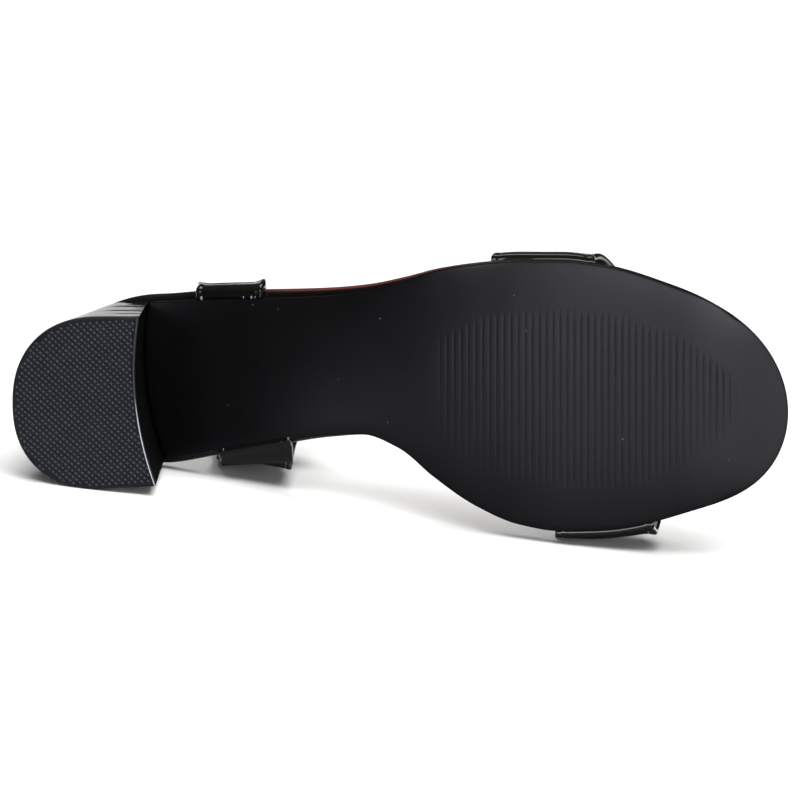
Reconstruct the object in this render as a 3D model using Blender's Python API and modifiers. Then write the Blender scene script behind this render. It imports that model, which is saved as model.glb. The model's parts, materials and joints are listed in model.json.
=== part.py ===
"""Heeled sandal for the right foot, two closed bands over a footbed on a block heel.

Every piece is modelled on the standing shoe, in millimetres: heel to toe along +X, the inner side of the
foot along +Y, the tread on Z = 0. The whole shoe is then laid on its inner side, sole upright.
"""
import math
from collections import namedtuple

import bmesh
import bpy
import numpy as np
from mathutils import Matrix, Vector

MM = 0.001
WELD = 0.001 * MM               # points closer than this are one
GAP = 0.3                       # clearance between pieces that meet
CREASE_ANGLE = math.radians(40.0)           # edges sharper than this stay crisp
RIM_ANGLE = math.radians(50.0)              # edges sharper than this are rounded
SOLE_ROWS = 44                  # cross rows along the sole, and columns across it
SOLE_COLUMNS = 6

# Sole sections. Lateral and medial are the outsole's half widths from the shoe's axis, before the two ends
# are rounded; the lips are how far the footbed stands proud of it; tread is the height of the walking face.
Station = namedtuple("Station", "x lateral medial lateral_lip medial_lip tread")
SOLE = (
    Station(10.0, 25.5, 25.0, 1.6, 1.6, 57.0),      # back of the heel seat
    Station(44.0, 26.4, 24.4, 1.7, 1.9, 48.8),      # heel breast
    Station(62.0, 28.0, 21.2, 2.0, 1.5, 41.6),
    Station(80.0, 29.1, 17.4, 2.2, 1.1, 32.5),
    Station(98.0, 30.8, 13.7, 2.3, 0.8, 22.6),      # waist
    Station(110.0, 32.8, 12.5, 2.0, 0.6, 16.3),
    Station(121.0, 36.3, 16.2, 1.2, 0.4, 11.1),
    Station(132.0, 40.3, 24.9, 0.4, 0.2, 6.6),
    Station(145.0, 42.8, 33.5, 0.1, 0.1, 2.8),
    Station(158.0, 43.9, 38.9, 0.1, 0.1, 0.7),      # ball
    Station(171.0, 43.9, 40.9, 0.1, 0.1, 0.0),
    Station(182.0, 42.7, 40.7, 0.1, 0.1, 0.0),
    Station(208.0, 38.9, 39.7, 0.2, 0.2, 0.0),      # toes
    Station(241.6, 38.0, 47.2, 0.3, 0.3, 6.0),      # tip, lifted by the toe spring
)
HEEL_BACK = SOLE[0].x
TOE_TIP = SOLE[-1].x
HEEL_ROUND = 33.0               # lengths of the half ellipses that round the two ends
TOE_ROUND = 60.0

OUTSOLE_THICKNESS = 2.3
FOOTBED_THICKNESS = 5.0
FOOTBED_EDGE = 1.4              # rounding of the wrapped edge
INSOLE_THICKNESS = 1.4
INSOLE_INSET = 3.0              # from the footbed's edge
THIN_EDGE = 0.5                 # rounding of the outsole's and insole's edges

# Heel: a D in plan, its ground outline longer than its seat, with a hollow breast that runs askew.
Corner = namedtuple("Corner", "x y")
LIFT_THICKNESS = 5.0
LIFT_HALF_WIDTH = 26.8
LIFT_CENTRE = Corner(27.2, 0.5)             # centre of the round back on the ground
LIFT_SQUARE = 0.87                          # below 1, the round back fills out to its shoulders
LIFT_LATERAL = Corner(39.4, -26.3)          # front corners on the ground
LIFT_MEDIAL = Corner(44.4, 26.4)
SEAT_INSET = 1.3                            # heel wall behind the footbed's edge
SEAT_CENTRE = 34.0                          # centre of the round back under the footbed
SEAT_LATERAL = Corner(40.0, -25.8)          # front corners under the footbed
SEAT_MEDIAL = Corner(45.2, 25.0)
BREAST_HOLLOW = 3.4
BREAST_CLEARANCE = 1.2                      # its upper edge; the lower edge leans back to the breast
BREAST_FADE = 70.0                          # where the outsole's rows run straight across again
SEAT_GAP = 0.36                             # upright clearance below the sloping footbed
HEEL_ROWS = 12
HEEL_COLUMNS = 6
HEEL_TURN = 0.7                             # share of the rows that go round the back
LIFT_EDGE = 0.6

# Bands. A fold is one line along the band: where it lies across the footbed, from -1 at the lateral edge to
# 1 at the medial edge, the shift from there to the medial side, the rise off the footbed's underside along
# its normal, and the lean to the toe.
Fold = namedtuple("Fold", "across shift rise lean")
Band = namedtuple("Band", "lateral_rear lateral_front medial_rear medial_front folds")
BAND_THICKNESS = 2.0
BAND_EDGE = 0.6
BAND_ROWS = 48                  # along the band, and columns across its width
BAND_COLUMNS = 6
EDGE_FREE = 10.0                # rise past the footbed over which a band leaves the sole's curved edge
TOE_BAND = Band(149.0, 181.0, 169.0, 200.0, (
    Fold(-1.00, -1.4, -1.7, 0.0),           # end beside the outsole
    Fold(-1.00, -1.4, 2.5, 0.0),
    Fold(-1.00, -1.0, 8.0, 2.0),
    Fold(-0.92, 0.0, 19.0, 6.0),
    Fold(-0.66, 0.0, 29.0, 9.5),
    Fold(-0.20, 0.0, 35.0, 11.0),           # over the toe joints
    Fold(0.30, 0.0, 35.5, 10.0),
    Fold(0.72, 1.0, 29.5, 7.0),
    Fold(0.97, 2.2, 19.0, 3.5),
    Fold(1.00, 3.1, 10.0, 1.5),             # bulge at the big toe joint
    Fold(1.00, 2.5, 4.5, 0.5),
    Fold(1.00, 1.5, 1.0, 0.0),
    Fold(1.00, 1.5, -1.7, 0.0),
))
INSTEP_BAND = Band(56.5, 78.0, 63.0, 85.5, (
    Fold(-1.00, 1.4, -1.5, 0.0),            # end turned under the footbed
    Fold(-1.00, 0.0, -1.5, 0.0),
    Fold(-1.00, -1.6, 1.2, -0.4),
    Fold(-1.00, -1.4, 7.0, -3.0),
    Fold(-1.00, -0.2, 17.0, -7.6),
    Fold(-0.94, 2.2, 34.0, -15.0),
    Fold(-0.72, 2.0, 53.0, -20.0),
    Fold(-0.32, 1.5, 66.0, -18.0),
    Fold(0.10, 2.5, 70.0, -16.5),           # over the instep
    Fold(0.52, 3.8, 64.0, -18.0),
    Fold(0.84, 5.2, 51.0, -22.5),
    Fold(1.00, 7.9, 33.0, -16.5),
    Fold(1.00, 6.7, 17.0, -9.0),
    Fold(1.00, 3.8, 7.0, -3.8),
    Fold(1.00, 1.7, 1.2, -0.5),
    Fold(1.00, 0.4, -1.6, 0.0),
    Fold(1.00, -0.5, -1.6, 0.0),
))

Finish = namedtuple("Finish", "colour roughness")
PATENT = Finish((0.010, 0.009, 0.008), 0.12)
SOLE_RUBBER = Finish((0.020, 0.020, 0.022), 0.45)
LIFT_RUBBER = Finish((0.035, 0.036, 0.041), 0.60)
LINING = Finish((0.105, 0.060, 0.055), 0.65)


def smooth(places, values, at):
    """Cubic through a short table that never overshoots its rows."""
    places = np.asarray(places, float)
    values = np.asarray(values, float)
    steps = np.diff(places)
    rates = np.diff(values) / steps
    slopes = np.empty_like(values)
    slopes[0] = rates[0]
    slopes[-1] = rates[-1]
    for i in range(1, len(values) - 1):
        if rates[i - 1] * rates[i] <= 0.0:
            slopes[i] = 0.0
        else:
            before = steps[i - 1] + 2.0 * steps[i]
            after = 2.0 * steps[i - 1] + steps[i]
            slopes[i] = (before + after) / (before / rates[i - 1] + after / rates[i])
    i = int(np.clip(np.searchsorted(places, at) - 1, 0, len(steps) - 1))
    t = (at - places[i]) / steps[i]
    rise = values[i] + slopes[i] * steps[i] * t
    bend = 3.0 * rates[i] - 2.0 * slopes[i] - slopes[i + 1]
    twist = slopes[i] + slopes[i + 1] - 2.0 * rates[i]
    return float(rise + steps[i] * (bend * t * t + twist * t * t * t))


def sole(column, x):
    return smooth([row.x for row in SOLE], [getattr(row, column) for row in SOLE], x)


def round_end(x):
    """Narrowing of the outline towards the back of the heel and the tip of the toe."""
    past = max(0.0, (HEEL_BACK + HEEL_ROUND - x) / HEEL_ROUND, (x - TOE_TIP + TOE_ROUND) / TOE_ROUND)
    return math.sqrt(max(0.0, 1.0 - past * past))


def outsole_edges(x):
    """Lateral and medial edge of the outsole."""
    lateral = sole("lateral", x)
    medial = sole("medial", x)
    middle = (medial - lateral) / 2.0
    half = (medial + lateral) / 2.0 * round_end(x)
    return middle - half, middle + half


def footbed_edges(x, inset=0.0):
    """Lateral and medial edge of the footbed, or of an outline inset from it."""
    lateral, medial = outsole_edges(x)
    end = round_end(x)
    return lateral - (sole("lateral_lip", x) - inset) * end, medial + (sole("medial_lip", x) - inset) * end


def board(x, offset=0.0):
    """A point on the footbed's underside, or offset along its normal, as x and z."""
    lift = OUTSOLE_THICKNESS + GAP
    slope = (sole("tread", x + 0.5) - sole("tread", x - 0.5))
    tall = math.hypot(slope, 1.0)
    return x - offset * slope / tall, sole("tread", x) + lift + offset / tall


def footbed_place(u, v, inset=0.0, offset=0.0):
    """A point of the footbed's outline or inside it, v running from the lateral to the medial edge."""
    middle = (HEEL_BACK + TOE_TIP) / 2.0
    x = middle - (TOE_TIP - middle) * math.cos(u * math.pi)
    lateral, medial = footbed_edges(x, inset)
    shorter = 1.0 - 2.0 * inset / (TOE_TIP - HEEL_BACK)
    along, height = board(middle + (x - middle) * shorter, offset)
    return along, lateral + (medial - lateral) * v, height


def breast_hollow(v):
    return BREAST_HOLLOW * (1.0 - (2.0 * v - 1.0) ** 2)


def outsole_place(u, v):
    """The outsole's upper face, from the hollow breast line to the toe."""
    start = SEAT_LATERAL.x + (SEAT_MEDIAL.x - SEAT_LATERAL.x) * v - breast_hollow(v) + BREAST_CLEARANCE
    straight = SEAT_MEDIAL.x + (TOE_TIP - SEAT_MEDIAL.x) * math.sin(u * math.pi / 2.0)
    bend = max(0.0, 1.0 - (straight - SEAT_MEDIAL.x) / (BREAST_FADE - SEAT_MEDIAL.x)) ** 2
    x = straight + (start - SEAT_MEDIAL.x) * bend
    lateral, medial = outsole_edges(x)
    along, height = board(x, -GAP)
    return along, lateral + (medial - lateral) * v, height


def heel_plan(u, v, centre, half_width, back, square, lateral, medial):
    """A D outline filled with rows: a round back up to the centre, then on to the hollow breast."""
    if u <= HEEL_TURN:
        angle = u / HEEL_TURN * math.pi / 2.0
        x = centre.x - (centre.x - back) * math.cos(angle) ** square
        half = half_width * math.sin(angle) ** square
        return x, centre.y + half * (2.0 * v - 1.0)
    t = (u - HEEL_TURN) / (1.0 - HEEL_TURN)
    x = centre.x + (lateral.x + (medial.x - lateral.x) * v - breast_hollow(v) - centre.x) * t
    left = centre.y - half_width + (lateral.y - centre.y + half_width) * t
    right = centre.y + half_width + (medial.y - centre.y - half_width) * t
    return x, left + (right - left) * v


def lift_plan(u, v):
    return heel_plan(u, v, LIFT_CENTRE, LIFT_HALF_WIDTH, 0.0, LIFT_SQUARE, LIFT_LATERAL, LIFT_MEDIAL)


def seat_plan(u, v):
    middle = Corner(SEAT_CENTRE, (SEAT_LATERAL.y + SEAT_MEDIAL.y) / 2.0)
    half_width = (SEAT_MEDIAL.y - SEAT_LATERAL.y) / 2.0
    back = HEEL_BACK + SEAT_INSET
    return heel_plan(u, v, middle, half_width, back, 1.0, SEAT_LATERAL, SEAT_MEDIAL)


def lift_place(u, v):
    return (*lift_plan(u, v), 0.0)


def heel_foot(u, v):
    return (*lift_plan(u, v), LIFT_THICKNESS + GAP)


def heel_seat(u, v):
    x, y = seat_plan(u, v)
    return x, y, board(x)[1] - SEAT_GAP


def band_place(band, u, v):
    """The middle of a band's wall: u along it from the lateral end, v from its rear to its front edge."""
    knots = range(len(band.folds))
    at = u * (len(band.folds) - 1)
    across, shift, rise, lean = (smooth(knots, column, at) for column in zip(*band.folds))
    lateral_x = band.lateral_rear + (band.lateral_front - band.lateral_rear) * v
    medial_x = band.medial_rear + (band.medial_front - band.medial_rear) * v
    share = (across + 1.0) / 2.0
    x = lateral_x + (medial_x - lateral_x) * share
    middle_x = (band.lateral_rear + band.lateral_front) / 2.0
    middle_x += share * (band.medial_rear + band.medial_front - band.lateral_rear - band.lateral_front) / 2.0
    lateral, medial = footbed_edges(x)
    far_lateral, far_medial = footbed_edges(middle_x)
    free = min(1.0, max(0.0, (rise - FOOTBED_THICKNESS) / EDGE_FREE))
    free = free * free * (3.0 - 2.0 * free)
    lateral += (far_lateral - lateral) * free
    medial += (far_medial - medial) * free
    y = lateral + (medial - lateral) * share + shift
    along, height = board(x, rise)
    return along + lean, y, height


def material(name, finish):
    made = bpy.data.materials.new(name)
    made.use_nodes = True
    shader = made.node_tree.nodes["Principled BSDF"]
    shader.inputs["Base Color"].default_value = (*finish.colour, 1.0)
    shader.inputs["Roughness"].default_value = finish.roughness
    shader.inputs["Metallic"].default_value = 0.0
    return made


def grid(rows, columns):
    """A unit grid whose points keep their place as u along the rows and v across them."""
    mesh = bmesh.new()
    bmesh.ops.create_grid(mesh, x_segments=columns, y_segments=rows, size=0.5)
    place = mesh.verts.layers.float_vector.new("place")
    for vert in mesh.verts:
        vert[place] = Vector((vert.co.y + 0.5, vert.co.x + 0.5, 0.0))
    return mesh, place


def put(verts, place, surface):
    for vert in verts:
        u, v, _ = vert[place]
        vert.co = Vector(surface(u, v)) * MM


def add_piece(name, mesh, finish):
    """One sub-part from its mesh; the pointed ends of a grid are welded shut."""
    bmesh.ops.remove_doubles(mesh, verts=mesh.verts, dist=WELD)
    data = bpy.data.meshes.new(name)
    mesh.to_mesh(data)
    mesh.free()
    data.shade_smooth()
    data.set_sharp_from_angle(angle=CREASE_ANGLE)
    data.materials.append(material(name, finish))
    piece = bpy.data.objects.new(name, data)
    sandal.objects.link(piece)
    piece.parent = rest
    return piece


def add_sheet(name, rows, columns, surface, thickness, side, edge, finish):
    """A sheet over a surface: side is 1 to thicken upwards, -1 downwards, 0 both ways."""
    mesh, place = grid(rows, columns)
    put(mesh.verts, place, surface)
    bmesh.ops.recalc_face_normals(mesh, faces=mesh.faces)
    highest = max(mesh.faces, key=lambda face: face.calc_center_median().z)
    if highest.normal.z < 0.0:
        bmesh.ops.reverse_faces(mesh, faces=mesh.faces)
    piece = add_piece(name, mesh, finish)
    wall = piece.modifiers.new("thickness", "SOLIDIFY")
    wall.thickness = thickness * MM
    wall.offset = side
    wall.use_even_offset = True
    rim = piece.modifiers.new("edge", "BEVEL")
    rim.width = edge * MM
    rim.segments = 2
    rim.limit_method = "ANGLE"
    rim.angle_limit = RIM_ANGLE
    return piece


def add_block(name, rows, columns, foot, seat, finish):
    """A solid between a foot and a seat of one outline each, joined by straight walls."""
    mesh, place = grid(rows, columns)
    put(mesh.verts, place, foot)
    bmesh.ops.remove_doubles(mesh, verts=mesh.verts, dist=WELD)
    raised = bmesh.ops.extrude_face_region(mesh, geom=mesh.faces[:], use_keep_orig=True)
    put([item for item in raised["geom"] if isinstance(item, bmesh.types.BMVert)], place, seat)
    bmesh.ops.recalc_face_normals(mesh, faces=mesh.faces)
    return add_piece(name, mesh, finish)


def solid_points(piece):
    """The points of a finished piece where it lies."""
    solid = piece.evaluated_get(bpy.context.evaluated_depsgraph_get())
    return [solid.matrix_world @ vert.co for vert in solid.data.vertices]


def lay_down(supports):
    """Turns the shoe onto its inner side until the lowest points of three supports share the ground."""
    rest.matrix_world = Matrix.Rotation(math.radians(-90.0), 4, "X")
    for _ in range(8):
        bpy.context.view_layer.update()
        back, middle, front = (min(solid_points(piece), key=lambda point: point.z) for piece in supports)
        upward = (middle - back).cross(front - back)
        if upward.z < 0.0:
            upward.negate()
        level = upward.rotation_difference(Vector((0.0, 0.0, 1.0))).to_matrix().to_4x4()
        rest.matrix_world = level @ rest.matrix_world
    bpy.context.view_layer.update()


def centre_on_ground(pieces):
    """Moves the shoe so that the middle of its lowest side is the origin."""
    points = [point for piece in pieces for point in solid_points(piece)]
    low = [min(point[axis] for point in points) for axis in range(3)]
    high = [max(point[axis] for point in points) for axis in range(3)]
    middle = Vector(((low[0] + high[0]) / 2.0, (low[1] + high[1]) / 2.0, low[2]))
    rest.matrix_world = Matrix.Translation(-middle) @ rest.matrix_world


for leftover in list(bpy.data.objects):
    bpy.data.objects.remove(leftover)

sandal = bpy.data.collections.new("heeled_sandal")
bpy.context.scene.collection.children.link(sandal)
rest = bpy.data.objects.new("resting_place", None)
sandal.objects.link(rest)

outsole = add_sheet("outsole", SOLE_ROWS, SOLE_COLUMNS, outsole_place,
                    OUTSOLE_THICKNESS, -1, THIN_EDGE, SOLE_RUBBER)
footbed = add_sheet("footbed", SOLE_ROWS, SOLE_COLUMNS, footbed_place,
                    FOOTBED_THICKNESS, 1, FOOTBED_EDGE, PATENT)
insole = add_sheet("insole", SOLE_ROWS, SOLE_COLUMNS,
                   lambda u, v: footbed_place(u, v, INSOLE_INSET, FOOTBED_THICKNESS + GAP),
                   INSOLE_THICKNESS, 1, THIN_EDGE, LINING)
toe_strap = add_sheet("toe_strap", BAND_ROWS, BAND_COLUMNS,
                      lambda u, v: band_place(TOE_BAND, u, v),
                      BAND_THICKNESS, 0, BAND_EDGE, PATENT)
instep_strap = add_sheet("instep_strap", BAND_ROWS, BAND_COLUMNS,
                         lambda u, v: band_place(INSTEP_BAND, u, v),
                         BAND_THICKNESS, 0, BAND_EDGE, PATENT)
heel = add_block("heel", HEEL_ROWS, HEEL_COLUMNS, heel_foot, heel_seat, PATENT)
top_lift = add_sheet("top_lift", HEEL_ROWS, HEEL_COLUMNS, lift_place,
                     LIFT_THICKNESS, 1, LIFT_EDGE, LIFT_RUBBER)

lay_down((top_lift, instep_strap, toe_strap))
centre_on_ground((outsole, footbed, insole, toe_strap, instep_strap, heel, top_lift))
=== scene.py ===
"""Heeled sandal for the right foot, lying on its inner side with its sole towards the camera."""
import json
import math
from collections import namedtuple

import bmesh
import bpy
import numpy as np
from mathutils import Euler, Matrix, Vector


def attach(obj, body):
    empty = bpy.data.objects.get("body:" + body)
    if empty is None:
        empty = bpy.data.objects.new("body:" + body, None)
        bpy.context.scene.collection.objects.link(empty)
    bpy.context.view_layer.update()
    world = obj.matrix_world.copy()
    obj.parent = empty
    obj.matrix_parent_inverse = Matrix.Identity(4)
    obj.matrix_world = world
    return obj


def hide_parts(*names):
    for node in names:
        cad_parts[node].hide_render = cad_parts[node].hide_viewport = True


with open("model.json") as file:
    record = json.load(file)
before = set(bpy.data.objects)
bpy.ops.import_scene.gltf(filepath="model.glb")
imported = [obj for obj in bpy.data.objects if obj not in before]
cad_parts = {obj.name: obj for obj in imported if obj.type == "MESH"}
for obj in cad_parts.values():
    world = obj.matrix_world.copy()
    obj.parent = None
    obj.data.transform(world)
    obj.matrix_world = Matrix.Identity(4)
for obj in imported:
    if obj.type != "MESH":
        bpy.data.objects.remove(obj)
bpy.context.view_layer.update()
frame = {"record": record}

# How the shoe lies. Every piece is shaped on the standing shoe, in millimetres: x from heel to toe, y to the
# inner side of the foot, z up from the tread. The frame's two treads then say how the shoe has come to lie.
MM = 0.001
HEEL_TREAD_X = 24.0
treads = {mount["name"]: mount for mount in frame["record"]["mounts"]}
heel_point = Vector(treads["heel_tread"]["pos_m"])
forward = (Vector(treads["forefoot_tread"]["pos_m"]) - heel_point).normalized()
upward = -Vector(treads["heel_tread"]["axis"]).normalized()
inward = upward.cross(forward)
turned = Matrix((forward, inward, upward)).transposed().to_4x4()
lying = Matrix.Translation(heel_point - HEEL_TREAD_X * MM * forward) @ turned @ Matrix.Scale(MM, 4)


# Footbed. A stiff board shaped to the foot and wrapped in black patent leather, which is drawn over its edge
# and cemented underneath. A reddish brown line is coloured along the turned edge, strongest along the outer
# waist.
Station = namedtuple("Station", "x lateral medial lateral_lip medial_lip tread")
SOLE = (
    Station(10.0, 25.5, 25.0, 1.6, 1.6, 57.0),      # back of the heel seat
    Station(44.0, 26.4, 24.4, 2.1, 1.9, 48.8),      # heel breast
    Station(62.0, 28.0, 21.2, 2.5, 1.5, 41.6),
    Station(80.0, 29.1, 17.4, 2.5, 1.1, 32.5),
    Station(98.0, 30.8, 13.7, 2.3, 0.8, 22.6),      # waist
    Station(110.0, 32.8, 12.5, 2.0, 0.6, 16.3),
    Station(121.0, 36.3, 16.2, 1.2, 0.4, 11.1),
    Station(132.0, 40.3, 24.9, 0.4, 0.2, 6.6),
    Station(145.0, 42.8, 33.5, 0.1, 0.1, 2.8),
    Station(158.0, 43.9, 38.9, 0.1, 0.1, 0.7),      # ball
    Station(171.0, 43.9, 40.9, 0.1, 0.1, 0.0),
    Station(182.0, 42.7, 40.7, 0.1, 0.1, 0.0),
    Station(208.0, 38.9, 39.7, 0.2, 0.2, 0.0),      # toes
    Station(241.6, 38.0, 47.2, 0.3, 0.3, 6.0),      # tip, lifted by the toe spring
)
HEEL_BACK = SOLE[0].x
TOE_TIP = SOLE[-1].x
HEEL_ROUND = 33.0               # length of the rounded heel end
TOE_ROUND = 60.0                # and of the rounded toe end
STRAIGHT = 0.6                  # share of a rounded end where the mesh rows stay straight
HALF_ROOT = math.sqrt(0.5)
GAP = 0.3                       # between pieces that lie on each other
OUTSOLE_THICKNESS = 2.3
FOOTBED_THICKNESS = 5.0
FOOTBED_EDGE = 1.5              # how far the wrapped edge curves in from its widest line
LINE_START = (0.27, 0.33)       # shares of the length over which the reddish line comes up
LINE_END = (0.50, 0.62)         # and over which it goes
LINE_FAINT = 0.04               # what shows of it elsewhere
LINE_UPPER = (0.32, 0.44)       # shares of the way round the rim where it begins
LINE_LOWER = (0.74, 0.86)       # and where it ends


def smooth(places, values, at):
    """A cubic through a short table that never overshoots its rows."""
    places = np.asarray(places, float)
    values = np.asarray(values, float)
    steps = np.diff(places)
    rates = np.diff(values) / steps
    before = steps[:-1] + 2.0 * steps[1:]
    after = 2.0 * steps[:-1] + steps[1:]
    slopes = np.concatenate((rates[:1], np.zeros(len(rates) - 1), rates[-1:]))
    for i in np.flatnonzero(rates[:-1] * rates[1:] > 0.0):
        slopes[i + 1] = (before[i] + after[i]) / (before[i] / rates[i] + after[i] / rates[i + 1])
    i = np.clip(np.searchsorted(places, at) - 1, 0, len(steps) - 1)
    t = (at - places[i]) / steps[i]
    bend = 3.0 * rates[i] - 2.0 * slopes[i] - slopes[i + 1]
    twist = slopes[i] + slopes[i + 1] - 2.0 * rates[i]
    return values[i] + steps[i] * (slopes[i] * t + bend * t ** 2 + twist * t ** 3)


def fade(value, start, end):
    """0 before start and 1 past end, with a soft rise between them."""
    t = np.clip((value - start) / (end - start), 0.0, 1.0)
    return t * t * (3.0 - 2.0 * t)


def sole(column, x):
    return smooth([row.x for row in SOLE], [getattr(row, column) for row in SOLE], x)


def half_widths(x, lip):
    """Lateral and medial half width of the outsole, or with lip 1 of the footbed that stands proud of it."""
    lateral = sole("lateral", x) + lip * sole("lateral_lip", x)
    return lateral, sole("medial", x) + lip * sole("medial_lip", x)


def fan(into, across):
    """Rows of a rounded end: straight at first, then fanned out along its edge. Gives reach and spread."""
    fanned = np.maximum(into - STRAIGHT, 0.0) / (1.0 - STRAIGHT)
    side = np.minimum(into, STRAIGHT) + fanned * (HALF_ROOT - STRAIGHT)
    bow = (1.0 - np.sqrt(1.0 - across ** 2 / 2.0)) / (1.0 - HALF_ROOT)
    return into - (into - side) * bow, np.sqrt(1.0 - side ** 2)


def sole_plan(s, across, lip, inset):
    """Plan of a sole piece: s runs from heel to toe, across from its lateral edge, -1, to its medial, 1."""
    heel_start = HEEL_BACK + HEEL_ROUND
    toe_start = TOE_TIP - TOE_ROUND
    heel_reach, heel_spread = fan(np.clip((heel_start - s) / HEEL_ROUND, 0.0, 1.0), across)
    toe_reach, toe_spread = fan(np.clip((s - toe_start) / TOE_ROUND, 0.0, 1.0), across)
    x = np.clip(s, heel_start, toe_start)
    x = x + (TOE_ROUND - inset) * toe_reach - (HEEL_ROUND - inset) * heel_reach
    lateral, medial = half_widths(x, lip)
    half = (medial + lateral) / 2.0 - inset
    return x, (medial - lateral) / 2.0 + half * across * heel_spread * toe_spread


def board(x, offset):
    """The footbed's underside in profile, or a line offset from it along its normal."""
    slope = sole("tread", x + 0.5) - sole("tread", x - 0.5)
    tall = np.hypot(slope, 1.0)
    return x - offset * slope / tall, sole("tread", x) + OUTSOLE_THICKNESS + GAP + offset / tall


def rim_turn(level, depth, square):
    """How a rim turns from upper face to lower: its inset, and its share of the thickness."""
    turn = np.pi * level
    inset = depth * (1.0 - np.abs(np.sin(turn)) ** square)
    return inset, 0.5 - 0.5 * np.sign(np.cos(turn)) * np.abs(np.cos(turn)) ** square


def cut_blank(name, rows, columns, courses):
    """A flat blank one unit wide, long and thick; rows lie along it and courses go round its rim."""
    bpy.ops.object.select_all(action="DESELECT")
    bpy.ops.mesh.primitive_grid_add(x_subdivisions=columns, y_subdivisions=rows, size=1.0)
    piece = bpy.context.object
    piece.name = name
    bpy.ops.object.mode_set(mode="EDIT")
    bpy.ops.mesh.select_all(action="SELECT")
    bpy.ops.mesh.extrude_region_move(TRANSFORM_OT_translate={"value": (0.0, 0.0, -1.0)})
    bpy.ops.mesh.select_all(action="DESELECT")
    cage = bmesh.from_edit_mesh(piece.data)
    for edge in cage.edges:
        edge.select_set(abs(edge.verts[0].co.z - edge.verts[1].co.z) > 0.5)
    bpy.ops.mesh.subdivide(number_cuts=courses - 1)
    bpy.ops.object.mode_set(mode="OBJECT")
    return piece


def last(piece, form, crisp=40.0):
    """Gives a blank its form and lays it down with the shoe. Each point keeps its place on the blank."""
    mesh = piece.data
    places = np.empty(len(mesh.vertices) * 3)
    mesh.vertices.foreach_get("co", places)
    across, along, depth = places.reshape(-1, 3).T
    place = np.stack((along + 0.5, across + 0.5, -depth), axis=1)
    points = np.stack(form(*place.T), axis=1)
    mesh.vertices.foreach_set("co", points.ravel())
    mesh.attributes.new("place", "FLOAT_VECTOR", "POINT").data.foreach_set("vector", place.ravel())
    mesh.transform(lying)
    bpy.ops.object.mode_set(mode="EDIT")
    bpy.ops.mesh.select_all(action="SELECT")
    bpy.ops.mesh.normals_make_consistent(inside=False)
    bpy.ops.object.mode_set(mode="OBJECT")
    bpy.ops.object.shade_smooth_by_angle(angle=math.radians(crisp))
    return piece


def blank_places(piece):
    """Where each point lies on the flat blank: along it, across it and round its rim."""
    places = np.empty(len(piece.data.vertices) * 3)
    piece.data.attributes["place"].data.foreach_get("vector", places)
    return places.reshape(-1, 3).T


def mark(piece, name, amounts):
    """Keeps an amount at each point of a piece, for its material to read."""
    piece.data.attributes.new(name, "FLOAT", "POINT").data.foreach_set("value", amounts)


def footbed_form(u, v, level):
    inset, share = rim_turn(level, FOOTBED_EDGE, 1.0)
    s = HEEL_BACK + (TOE_TIP - HEEL_BACK) * u
    x, y = sole_plan(s, 2.0 * v - 1.0, 1.0, inset)
    along, height = board(x, FOOTBED_THICKNESS * (1.0 - share))
    return along, y, height


def linear(code):
    """An sRGB hex colour as linear red, green, blue and alpha."""
    channels = [int(code[i:i + 2], 16) / 255.0 for i in (1, 3, 5)]
    return [c / 12.92 if c <= 0.04045 else ((c + 0.055) / 1.055) ** 2.4 for c in channels] + [1.0]


def node(tree, kind, inputs, **options):
    """Adds a shader node; each input is a constant or the output that feeds it."""
    made = tree.nodes.new(kind)
    for option, value in options.items():
        setattr(made, option, value)
    for socket, value in inputs.items():
        if isinstance(value, bpy.types.NodeSocket):
            tree.links.new(value, made.inputs[socket])
        else:
            made.inputs[socket].default_value = value
    return made


def new_material(name):
    made = bpy.data.materials.new(name)
    made.use_nodes = True
    return made, made.node_tree, made.node_tree.nodes["Principled BSDF"]


def patent_leather(name, line_colour=None):
    """Black leather under a poured lacquer: a deep gloss, whose reflections waver with the leather below.
    On the footbed a line of the given colour runs round the turned edge."""
    black = linear("#0d0b0a")
    made, tree, shader = new_material(name)
    spots = node(tree, "ShaderNodeTexCoord", {}).outputs["Object"]
    waver = node(tree, "ShaderNodeTexNoise", {"Vector": spots, "Scale": 1.0 / (7.0 * MM), "Detail": 2.0})
    grain = node(tree, "ShaderNodeTexNoise", {"Vector": spots, "Scale": 1.0 / (0.9 * MM), "Detail": 1.0})
    relief = node(tree, "ShaderNodeBump", {"Height": waver.outputs["Fac"], "Distance": 0.12 * MM,
                                           "Strength": 0.6})
    pores = node(tree, "ShaderNodeBump", {"Height": grain.outputs["Fac"], "Distance": 0.006 * MM,
                                          "Strength": 0.6, "Normal": relief.outputs["Normal"]})
    smudge = node(tree, "ShaderNodeMapRange", {"Value": waver.outputs["Fac"], "From Min": 0.3,
                                               "From Max": 0.7, "To Min": 0.16, "To Max": 0.26})
    shader.inputs["Base Color"].default_value = black
    shader.inputs["Coat Weight"].default_value = 0.75
    shader.inputs["Coat Roughness"].default_value = 0.04
    shader.inputs["Specular IOR Level"].default_value = 0.1
    tree.links.new(smudge.outputs["Result"], shader.inputs["Roughness"])
    tree.links.new(pores.outputs["Normal"], shader.inputs["Normal"])
    tree.links.new(pores.outputs["Normal"], shader.inputs["Coat Normal"])
    if line_colour:
        shown = node(tree, "ShaderNodeAttribute", {}, attribute_name="reddish_edge_line").outputs["Fac"]
        line = node(tree, "ShaderNodeMix", {0: shown, 6: black, 7: linear(line_colour)}, data_type="RGBA")
        tree.links.new(line.outputs[2], shader.inputs["Base Color"])
    return made


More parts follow.
